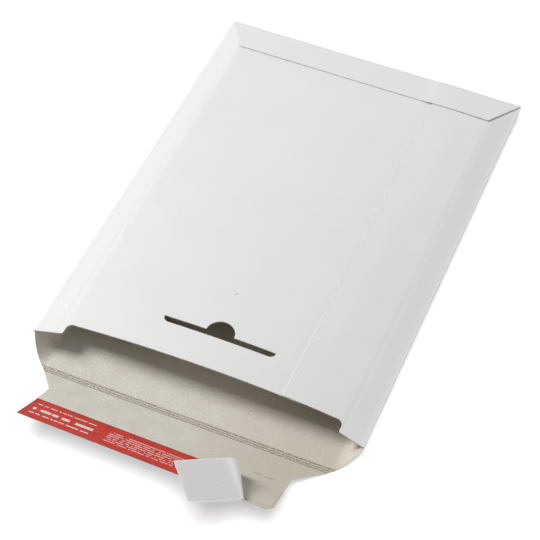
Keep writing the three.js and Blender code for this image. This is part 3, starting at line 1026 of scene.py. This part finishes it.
def grey_board(name, shade, roughness, coat):
    """Recycled grey board: clouded, pale and dark fibres, flecks, cracks at scores, painted light and
    shade.
    """
    material, tree, shader = new_material(name)
    tone = {key: tuple(shade * value for value in color) for key, color in GREY_TONES.items()}
    color = mixed(tree, patches(tree, GREY_CLOUD), tone["ground"], tone["pale_ground"])
    # Painted shade: the right part of the flap is made darker and warmer
    painted_shade_spot = spot(tree, (PAINTED_SHADE_PLACE, -LIP - FLAP_LENGTH / 2), (PAINTED_SHADE_REACH, PAINTED_SHADE_REACH))
    color = mixed(tree, painted_shade_spot, color, tone["painted_shade_ground"])
    color = mixed(tree, patches(tree, GREY_MOTTLE), color, tone["mottle"])
    for kind, angle in GREY_FIBRES:
        color = mixed(tree, patches(tree, GREY_FIBRE, angle), color, tone[kind])
    inputs = {"Vector": blank_point(tree, size=(FLECK_SIZE, FLECK_SIZE)), "Scale": 1.0}
    cells = add(tree, "ShaderNodeTexVoronoi", inputs)
    fleck = ramp(tree, cells.outputs["Distance"], *FLECK_RANGE)
    color = mixed(tree, fleck, color, tone["fleck"])
    # A speck, and dark marks along the wrinkles that are partly painted shade
    for x, past, along, across, angle, share in GREY_SCUFFS_AND_WRINKLE_SHADE:
        mark = spot(tree, (x, -LIP - past), (along, across), angle)
        color = mixed(tree, product(tree, mark, share), color, tone["fleck"])
    dashes = patches(tree, SCORE_DASHES)
    # Painted highlights on the ridges between the scores
    painted_highlight = product(tree, mask(tree, "ridge_highlight"), ramp(tree, dashes, 0, 1, *RIDGE_HIGHLIGHT_SHARE))
    color = mixed(tree, painted_highlight, color, tone["ridge_highlight"])
    # Cracks, and painted shade in the score grooves, darken the scores
    cracked_and_shaded = product(tree, mask(tree, "score"), ramp(tree, dashes, 0, 1, *SCORE_CRACK_AND_SHADE_SHARE))
    color = mixed(tree, cracked_and_shaded, color, tone["score"])
    fill(tree, shader, {
        "Base Color": color, "Roughness": roughness, "Specular IOR Level": 0.25,
        "Coat Weight": coat, "Coat Roughness": 0.25,
    })
    relief(tree, shader, GREY_RELIEF)
    return material


def board_edge():
    """Cut edge of the board: cream layers with grey fibre."""
    material, tree, shader = new_material("cut_edge")
    color = mixed(tree, patches(tree, EDGE_GRAIN), *EDGE_TONES)
    fill(tree, shader, {"Base Color": color, "Roughness": 0.9})
    return material


def print_rows(tree, block):
    """Rows of short dashes in a block of the liner."""
    start, end, first, pitch, height, count, length = block
    point = add(tree, "ShaderNodeSeparateXYZ", {0: blank_point(tree)})
    s, v = point.outputs[0], point.outputs[1]
    above = math_node(tree, "SUBTRACT", v, PEEL_TIP_BEYOND + first)
    row = math_node(tree, "DIVIDE", above, pitch)
    number = math_node(tree, "FLOOR", row)
    within = math_node(tree, "LESS_THAN", math_node(tree, "FRACT", row), height / pitch)
    for value, low, high in ((s, PRINT_LEFT + start, PRINT_LEFT + end), (row, 0, count)):
        within = product(tree, within, math_node(tree, "GREATER_THAN", value, low))
        within = product(tree, within, math_node(tree, "LESS_THAN", value, high))
    inputs = {0: math_node(tree, "DIVIDE", s, length), 1: product(tree, number, DASH_SEED)}
    place = add(tree, "ShaderNodeCombineXYZ", inputs).outputs[0]
    inputs = {"Vector": place, "Scale": 1.0, "Detail": 1.0}
    dash = add(tree, "ShaderNodeTexNoise", inputs, noise_dimensions="2D").outputs[0]
    return product(tree, within, ramp(tree, dash, *DASH_RANGE))


def printed_liner():
    """Red printed face of the liner, with generic rows of white dashes and painted shade at its rim."""
    material, tree, shader = new_material("red_liner")
    color = mixed(tree, patches(tree, RED_CLOUD), *RED_GROUND)
    color = mixed(tree, patches(tree, RED_GRAIN), color, RED_GRAIN_TONE)
    for block in PRINT_BLOCKS:
        printed = product(tree, print_rows(tree, block), PRINT_SHARE)
        color = mixed(tree, printed, color, PRINT_TONE)
    # Painted shade along the liner's rim
    color = mixed(tree, product(tree, mask(tree, "rim"), RED_RIM_SHADE_SHARE), color, RED_RIM_SHADE_TONE)
    fill(tree, shader, {"Base Color": color, "Roughness": 0.5, "Specular IOR Level": 0.22})
    relief(tree, shader, RED_RELIEF)
    return material


def silicone_liner():
    """White underside of the liner: smooth paper streaked along it, painted highlights at its bend and
    rim.
    """
    material, tree, shader = new_material("white_liner")
    streak = patches(tree, LINER_STREAK)
    color = mixed(tree, streak, *LINER_TONES)
    # Painted highlight at the liner's bend
    color = mixed(tree, mask(tree, "bend"), color, LINER_BEND_HIGHLIGHT_TONE)
    # Painted highlight along the liner's rim
    color = mixed(tree, product(tree, mask(tree, "rim"), LINER_RIM_HIGHLIGHT_SHARE), color, LINER_RIM_HIGHLIGHT_TONE)
    fill(tree, shader, {"Base Color": color, "Roughness": 0.38})
    bump(tree, shader, streak, STREAK_DEPTH)
    return material


white_outside = white_board()
grey_inside = grey_board("grey_inside", shade=1.0, roughness=0.9, coat=0.0)
clear_film = grey_board("clear_film", shade=0.93, roughness=0.5, coat=0.6)
cut_edge = board_edge()
red_liner = printed_liner()
white_liner = silicone_liner()


# Pieces

flat, triangles = flat_mesh(blank_outline(), [slot_outline()], mesh_lines(), BOARD_GRID)
board = sheet_piece(
    "board_sheet", flat, triangles, folded(flat), BOARD, [grey_inside, white_outside, cut_edge],
    crush=EDGE_CRUSH, masks=board_masks(flat),
)
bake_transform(board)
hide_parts("envelope_body", "closing_flap")

flat, triangles = flat_mesh(film_outline(), [], [], FILM_GRID)
film_height = np.full(len(flat), FILM_SEAT + FILM_THICKNESS / 2)
film_points = on_flap(np.column_stack([flat, film_height]))
film = sheet_piece(
    "adhesive_film", flat - [0, LIP], triangles, film_points, FILM_THICKNESS, [clear_film] * 3,
    masks={"score": np.zeros(len(flat)), "ridge_highlight": np.zeros(len(flat))},
)
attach(film, "flap")
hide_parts("adhesive_strip")

flat, triangles = flat_mesh(liner_outline(), [], [], LINER_GRID)
liner = sheet_piece(
    "liner_sheet", flat, triangles, on_flap(peeled(flat)), LINER_THICKNESS,
    [red_liner, white_liner, white_liner],
    masks={"rim": rim_mask(flat, liner_outline(), RIM_WIDTH), "bend": bend_mask(flat)},
)
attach(liner, "flap")
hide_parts("release_liner")


# Stage

def seen_directly(tree):
    """1 for what is seen directly, in a mirror or through glass, and 0 for light on the object."""
    path = add(tree, "ShaderNodeLightPath").outputs
    glossy = math_node(tree, "MAXIMUM", path["Is Camera Ray"], path["Is Glossy Ray"])
    return math_node(tree, "MAXIMUM", glossy, path["Is Transmission Ray"])


def make_floor():
    """A pale floor, seen a little by a white glow of its own, which keeps its shadows soft."""
    mesh = bpy.data.meshes.new("floor")
    half = FLOOR_SIZE / 2
    corners = [(-half, -half), (half, -half), (half, half), (-half, half)]
    mesh.from_pydata([(x, y, FLOOR_LEVEL) for x, y in corners], [], [(0, 1, 2, 3)])
    floor = bpy.data.objects.new("floor", mesh)
    bpy.context.scene.collection.objects.link(floor)
    material, tree, shader = new_material("floor_white")
    fill(tree, shader, {"Base Color": (0.96, 0.96, 0.96, 1), "Roughness": 0.9})
    glow = add(tree, "ShaderNodeEmission", {"Color": (1, 1, 1, 1), "Strength": 1.0})
    share = product(tree, seen_directly(tree), FLOOR_GLOW)
    both = add(tree, "ShaderNodeMixShader", {0: share, 1: shader.outputs[0], 2: glow.outputs[0]})
    tree.links.new(both.outputs[0], tree.nodes["Material Output"].inputs["Surface"])
    mesh.materials.append(material)
    return floor


def make_light(name, place, size, power, floor, link_state):
    """A square lamp towards the object that leaves the floor out, or lights the floor alone."""
    lamp = bpy.data.lights.new(name, "AREA")
    lamp.shape = "SQUARE"
    lamp.size = size
    lamp.energy = power
    light = bpy.data.objects.new(name, lamp)
    light.location = place
    light.rotation_mode = "QUATERNION"
    light.rotation_quaternion = (-place).to_track_quat("-Z", "Y")
    light.visible_camera = False
    bpy.context.scene.collection.objects.link(light)
    lit = bpy.data.collections.new(name + "_receivers")
    lit.objects.link(floor)
    lit.collection_objects[0].light_linking.link_state = link_state
    light.light_linking.receiver_collection = lit


def make_camera():
    """The camera, at the place and angles that the object was seen from."""
    forward = Vector((
        -math.sin(CAMERA_AZIMUTH) * math.cos(CAMERA_ELEVATION),
        math.cos(CAMERA_AZIMUTH) * math.cos(CAMERA_ELEVATION),
        -math.sin(CAMERA_ELEVATION),
    ))
    data = bpy.data.cameras.new("camera")
    data.lens = CAMERA_LENS
    data.sensor_width = CAMERA_SENSOR
    camera = bpy.data.objects.new("camera", data)
    camera.location = CAMERA_PLACE
    camera.rotation_mode = "QUATERNION"
    camera.rotation_quaternion = forward.to_track_quat("-Z", "Y") @ Quaternion((0, 0, 1), CAMERA_ROLL)
    bpy.context.scene.collection.objects.link(camera)
    bpy.context.scene.camera = camera


def make_world():
    """An even sky on the object, seen as white."""
    world = bpy.data.worlds.new("studio")
    bpy.context.scene.world = world
    world.use_nodes = True
    tree = world.node_tree
    background = tree.nodes["Background"]
    background.inputs["Color"].default_value = (1, 1, 1, 1)
    strength = ramp(tree, seen_directly(tree), 0, 1, SKY_LIGHT, 1)
    tree.links.new(strength, background.inputs["Strength"])


floor = make_floor()
make_camera()
make_world()
for name, (place, size, power, link_state) in LAMPS.items():
    make_light(name, place, size, power, floor, link_state)
bpy.context.scene.view_settings.view_transform = "Standard"
